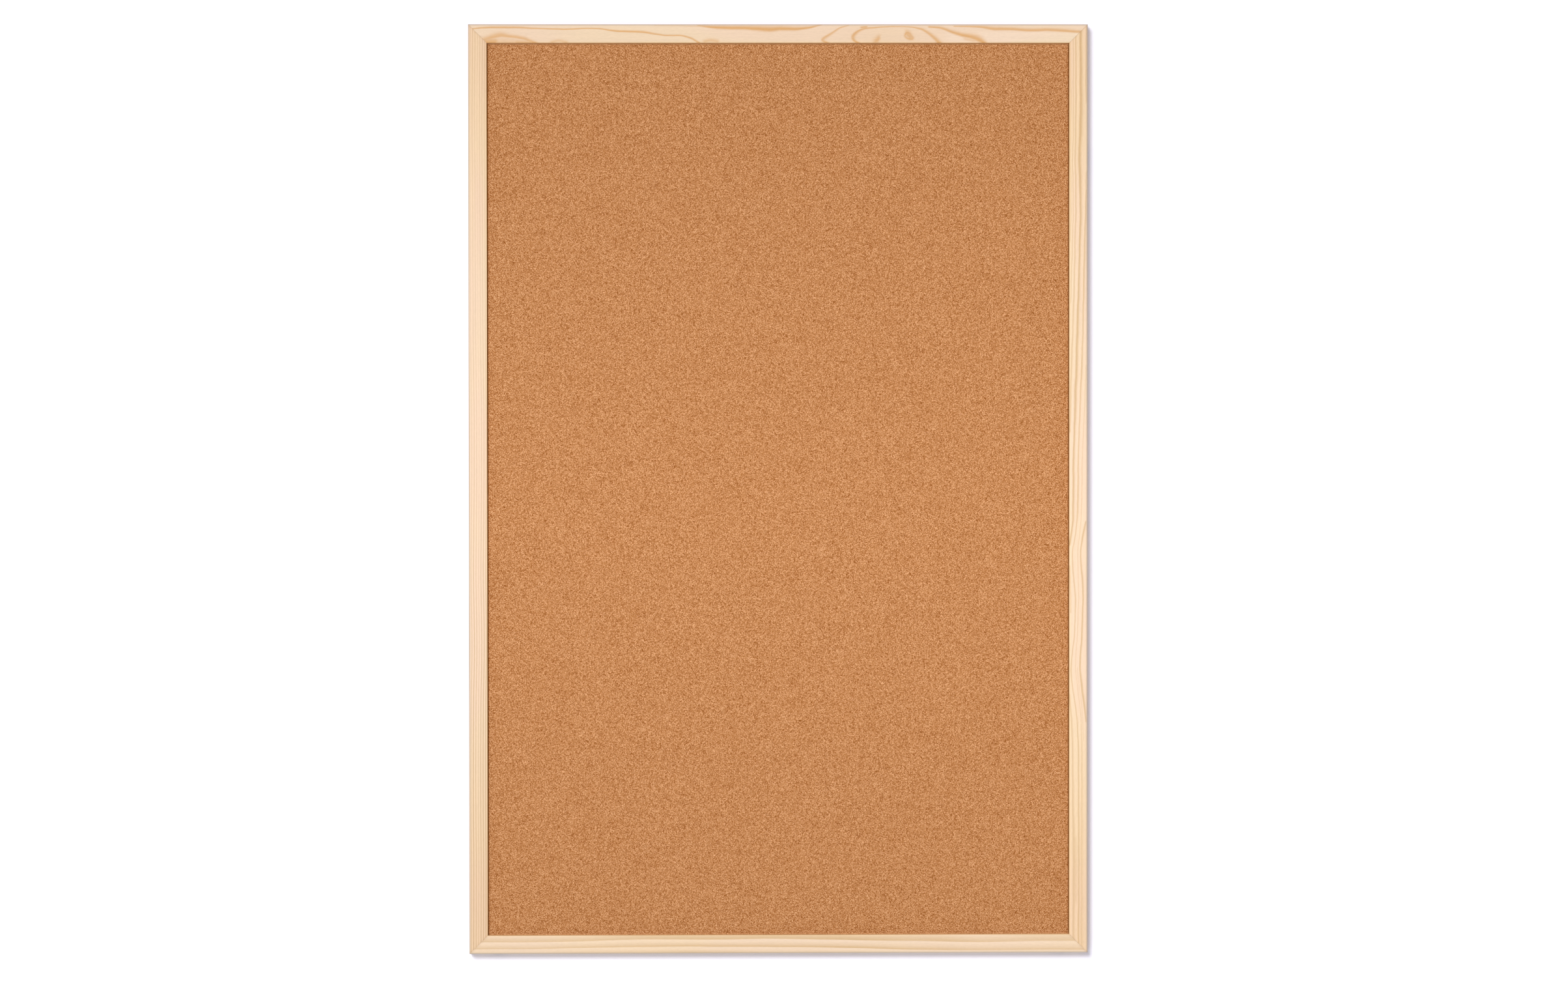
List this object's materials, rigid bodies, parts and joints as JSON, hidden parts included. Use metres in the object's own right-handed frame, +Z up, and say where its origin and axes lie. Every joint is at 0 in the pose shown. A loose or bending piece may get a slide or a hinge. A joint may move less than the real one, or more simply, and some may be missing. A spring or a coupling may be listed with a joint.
{
  "type": "cork notice board",
  "caption": "Tall cork pin board in a mitred pale pine frame, hung on a wall by two swinging rings on its back.",
  "frame": {"origin": "on the wall plane, midway between the two hooks that carry the rings, at the height where they bear", "axes": "+Z up the board, +Y into the wall, +X to the right as one faces the cork; the cork faces -Y"},
  "size_m": [0.6, 0.0195, 0.9],
  "materials": {
    "pine": "satin",
    "cork": "matte",
    "softboard": "matte",
    "kraft_paper": "matte",
    "nail_steel": "satin",
    "zinc_plate": "satin",
    "rubber": "matte"
  },
  "bodies": {
    "board": {"backing_paper": "kraft_paper", "bottom_left_inner_v_nail": "nail_steel", "bottom_left_outer_v_nail": "nail_steel", "bottom_rail": "pine", "bottom_rail_point_1": "nail_steel", "bottom_rail_point_2": "nail_steel", "bottom_rail_point_3": "nail_steel", "bottom_right_inner_v_nail": "nail_steel", "bottom_right_outer_v_nail": "nail_steel", "cork_sheet": "cork", "left_bumper": "rubber", "left_hanger_screw": "zinc_plate", "left_hanger_strap": "zinc_plate", "left_stile": "pine", "left_stile_point_1": "nail_steel", "left_stile_point_2": "nail_steel", "left_stile_point_3": "nail_steel", "left_stile_point_4": "nail_steel", "right_bumper": "rubber", "right_hanger_screw": "zinc_plate", "right_hanger_strap": "zinc_plate", "right_stile": "pine", "right_stile_point_1": "nail_steel", "right_stile_point_2": "nail_steel", "right_stile_point_3": "nail_steel", "right_stile_point_4": "nail_steel", "softboard_core": "softboard", "top_left_inner_v_nail": "nail_steel", "top_left_outer_v_nail": "nail_steel", "top_rail": "pine", "top_rail_point_1": "nail_steel", "top_rail_point_2": "nail_steel", "top_rail_point_3": "nail_steel", "top_right_inner_v_nail": "nail_steel", "top_right_outer_v_nail": "nail_steel"},
    "left_ring": {"left_hanger_ring": "zinc_plate"},
    "right_ring": {"right_hanger_ring": "zinc_plate"}
  },
  "joints": [
    {"name": "left_ring_swing", "type": "hinge", "parent": "board", "child": "left_ring", "pos_m": [-0.2925, -0.0018, -0.0079], "axis": [-1, 0, 0], "range_deg": [-4.5, 175]},
    {"name": "right_ring_swing", "type": "hinge", "parent": "board", "child": "right_ring", "pos_m": [0.2925, -0.0018, -0.0079], "axis": [-1, 0, 0], "range_deg": [-4.5, 175]}
  ]
}
